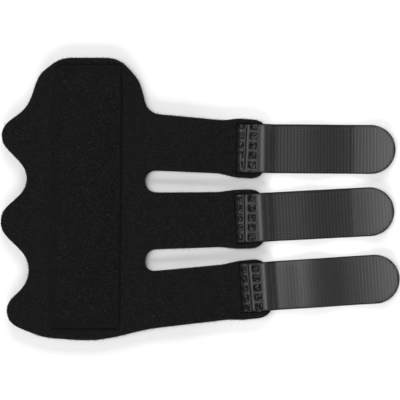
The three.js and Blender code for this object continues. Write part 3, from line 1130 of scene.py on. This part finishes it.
# %% Points over the strip's face
PLATE_STEP = 0.22 * MM
STRIP_STEP = 0.7 * MM
PLATE_FINE_END = -2.5 * MM


def tab_fill(tab, outline):
    """Points over a tab's face, fine over the weld and coarser over the strip."""
    inner = inset_by(outline, TAB_RIM[-1][0])
    plate = field(inner, PLATE_STEP, lambda p: tab.local(p)[0] < PLATE_FINE_END)
    strip = field(inner, STRIP_STEP, lambda p: tab.local(p)[0] >= PLATE_FINE_END)
    return np.vstack([plate, strip])


# %% [markdown]
# ### The hooks
# Each hook is moulded with flat sides and a crook along the tape. Rows stand 1.35 mm apart. Neighbours in a
# row face opposite ways and every second hook is low, which gives the rows of the photograph their dots,
# two hooks from one to the next. Towards the tip the hooks were leant over and then pressed down when the
# tape was cut. There they all face one way, and the flattest have the tape's own finish, so the tip is
# nearly smooth. One hook is drawn by its profile, and the field is a joined mesh of its copies.

# %% One hook and the field of hooks
HOOK_HEIGHT = 0.48 * MM
HOOK_ROW = 1.35 * MM
HOOK_FIRST = 2.25 * MM
HOOK_SPACING = 0.6125 * MM
HOOK_WIDTH = 0.38 * MM
SELVEDGE = 0.85 * MM
HOOK_PROFILE = np.array([
    # along the tape in millimetres and up as a share of the hook's height, from the foot round the crook
    (-0.20, -0.08), (0.38, -0.08), (0.24, 0.29), (0.24, 0.54), (0.33, 0.62), (0.44, 0.48),
    (0.53, 0.64), (0.48, 0.89), (0.36, 1.0), (0.02, 1.0), (-0.08, 0.82), (-0.12, 0.29),
]) * (MM, HOOK_HEIGHT)
SMOOTH_TIP = {"hook_tab_top": 7.2 * MM, "hook_tab_middle": 3.0 * MM, "hook_tab_low": 7.2 * MM}
TIP_CLEARANCE = 0.6 * MM
SLOPE_STEP = 0.3 * MM
LEAN_RUN = (16 * MM, 4 * MM)
PRESS_RUN = 1.5 * MM
# shares of a hook's full height
PRESSED = 0.14
LEANT = 0.5
ALTERNATING = 0.8
SECOND_HEIGHT = 0.4
FLATTENED = 0.2


def hook_form():
    """Points and faces of one hook, with flat sides."""
    count = len(HOOK_PROFILE)
    points = [(x, side * HOOK_WIDTH / 2, z) for side in (-1, 1) for x, z in HOOK_PROFILE]
    faces = [(i, (i + 1) % count, count + (i + 1) % count, count + i) for i in range(count)]
    faces += [tuple(reversed(range(count))), tuple(range(count, 2 * count))]
    return np.array(points), faces


def tipped(angle):
    """A turn about +Y as a matrix."""
    c, s = math.cos(angle), math.sin(angle)
    return np.array([[c, 0, s], [0, 1, 0], [-s, 0, c]])


def standing(tab, u):
    """How much of its height a row of hooks at u has kept."""
    tip_start = tab.tip - SMOOTH_TIP[tab.node]
    kept = 1 - (1 - LEANT) * smooth(np.array(u), tip_start - LEAN_RUN[0], tip_start - LEAN_RUN[1])
    kept *= 1 - (1 - PRESSED) * smooth(np.array(u), tip_start - PRESS_RUN, tip_start)
    return float(kept)


def hook_places(tab, top):
    """Turn and place of every hook of a tab."""
    side = tab.width / 2
    along = np.arange(HOOK_FIRST, tab.tip - TIP_CLEARANCE, HOOK_ROW)
    across = np.arange(-side + SELVEDGE, side - SELVEDGE + JOIN, HOOK_SPACING)
    lean = math.atan2(tab.along[1], tab.along[0])
    copies = []
    for u in along:
        reach = side if u < tab.tip - side else math.sqrt(max(0.0, side ** 2 - (u - tab.tip + side) ** 2))
        v = across[np.abs(across) < reach - SELVEDGE + 2 * JOIN]
        if not len(v):
            continue
        plan = tab.world(np.full(len(v), u), v)
        heights = top(plan)
        slope = (top(plan + tab.along * SLOPE_STEP) - heights) / SLOPE_STEP
        kept = standing(tab, u)
        for column, ((x, y), z, tilt) in enumerate(zip(plan, heights, slope)):
            away = column % 2 if kept > ALTERNATING else 0
            stretch = np.diag([1, 1, kept * (SECOND_HEIGHT if away else 1)])
            pitch = math.atan(tilt) * (1 if away else -1)
            turn = turned(lean + away * math.pi) @ tipped(pitch) @ stretch
            copies.append((turn, np.array((x, y, z))))
    return copies


# %% Which finish each facet of a strip has
TAB_FINISHES = [tape, edge_and_shade_finish, ground_shade_finish, tape_melt]
TAPE, EDGE_AND_SHADE, SHADED_GROUND, MELT = range(4)
CUT_EDGE_DROP = 0.93
PIT_SHADED_WALL = (0.04, 0.9)
PIT_GRAIN = 0.8 * MM
PIT_SPECKLE = 0.06
GROOVE_SHADED = 0.5
MELT_REACH = 3.5 * MM
MELT_WANDER = 0.4 * MM
MELT_SIZE = 1.4 * MM
ROOT_REACH = 1.3 * MM
ROOT_WANDER = 0.3
SHADED_GROUND_START = HOOK_FIRST - 0.7 * MM
SHADED_GROUND_END = {"hook_tab_top": 17 * MM, "hook_tab_middle": 17 * MM, "hook_tab_low": 50 * MM}


def finish_strip(tab, strip, rim_faces):
    """Gives the cut edge, the frayed root edge and speckles in the pits the dark cut-edge finish, paints the
    pits' walls and the groove with it as shade, paints the ground between the hooks darker as shade, and
    gives the melted root its own finish.
    """
    centres = np.array([p.center for p in strip.data.polygons])
    plan = centres[:, :2]
    u, v = tab.local(plan)
    level = np.array([p.normal.z for p in strip.data.polygons])
    facet = np.arange(len(level))
    left, right, groove = pit_depth(tab, plan)
    pits = np.maximum(left, right)
    speckled = wobble(plan, PIT_GRAIN, seed=12.0) < PIT_SPECKLE
    root = u < -WELD_LENGTH + ROOT_REACH * (1 + ROOT_WANDER * wobble(plan, PIT_GRAIN, seed=15.0))
    shaded_rows = (u > SHADED_GROUND_START) & (u < tab.tip - SHADED_GROUND_END[tab.node])
    chosen = np.full(len(level), TAPE)
    # painted shade: the ground between the rows of hooks takes a darker finish
    chosen[shaded_rows & (np.abs(v) < tab.width / 2 - 0.5 * SELVEDGE)] = SHADED_GROUND
    chosen[u < -MELT_REACH + MELT_WANDER * wobble(plan, MELT_SIZE, seed=5.0)] = MELT
    # painted shade: the pits' walls and the groove take the dark cut-edge finish
    chosen[(u < 0) & (pits > PIT_SHADED_WALL[0]) & (pits < PIT_SHADED_WALL[1])] = EDGE_AND_SHADE
    chosen[(u < 0) & (pits >= PIT_SHADED_WALL[1]) & speckled] = EDGE_AND_SHADE
    chosen[(u < 0) & (groove > GROOVE_SHADED)] = EDGE_AND_SHADE
    chosen[root] = EDGE_AND_SHADE
    chosen[(facet < rim_faces) & (np.abs(level) < CUT_EDGE_DROP)] = EDGE_AND_SHADE
    chosen[(level < 0) & ~root] = TAPE
    strip.data.polygons.foreach_set("material_index", chosen)


# %% Build the three tabs
for tab in tabs.values():
    outline = strip_plan(tab)
    fill = tab_fill(tab, outline)
    bottom, top = strip_bottom(tab), strip_top(tab)
    strip_name = tab.node.replace("hook_tab", "tape_strip")
    strip, groups = flat_body(strip_name, outline, TAB_RIM, fill, bottom, top)
    for finish in TAB_FINISHES:
        strip.data.materials.append(finish)
    finish_strip(tab, strip, groups["ring"] * (len(TAB_RIM) - 1))
    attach(strip, BODY)
    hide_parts(tab.node)
    copies = hook_places(tab, top)
    hook_points, hook_faces = hook_form()
    hooks = joined(tab.node.replace("hook_tab", "hook_field"), copies, hook_points, hook_faces)
    hooks.data.shade_flat()
    # painted highlight: the crooks are paler than the tape; the flattened hooks keep the tape's own finish
    for finish in (crook_highlight_finish, tape):
        hooks.data.materials.append(finish)
    flattened = np.repeat([turn[2, 2] < FLATTENED for turn, _ in copies], len(hook_faces))
    hooks.data.polygons.foreach_set("material_index", flattened.astype(int))
    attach(hooks, BODY)
    print(tab.node, "hooks", len(copies))

# %% [markdown]
# ## The floor's finish
# The floor is matt paper in two pale tones. Light is painted into it: it turns a little paler to the right of
# the panel, where the photograph's slots and margins are lighter than the lamps alone would make them.

# %% Floor finish
# painted light: the run along x over which the paper turns paler
PAINTED_LIGHT_RUN = (-5 * MM, 20 * MM)
PAPER_CLOUD = 0.4
paper, paper_tree, paper_shader, paper_place = new_finish("pale_floor", 0.9, 0.1)
parts = paper_tree.nodes.new("ShaderNodeSeparateXYZ")
paper_tree.links.new(paper_place, parts.inputs["Vector"])
# painted light: the paper's tone rises from left to right across the panel
painted_light_ramp = paper_tree.nodes.new("ShaderNodeMapRange")
painted_light_ramp.inputs["From Min"].default_value, painted_light_ramp.inputs["From Max"].default_value = PAINTED_LIGHT_RUN
paper_tree.links.new(parts.outputs["X"], painted_light_ramp.inputs["Value"])
paper_cloud = grain(paper_tree, paper_place, PAPER_CLOUD, 2.0)
painted_light_and_cloud = added(paper_tree, painted_light_ramp.outputs["Result"], paper_cloud, first_share=0.9, second_share=0.1)
paper_tone_and_painted_light = between(paper_tree, painted_light_and_cloud, (0.83,) * 3, (0.95,) * 3, low_at=0.0, high_at=1.0)
paper_tree.links.new(paper_tone_and_painted_light, paper_shader.inputs["Base Color"])
floor.data.materials.append(paper)
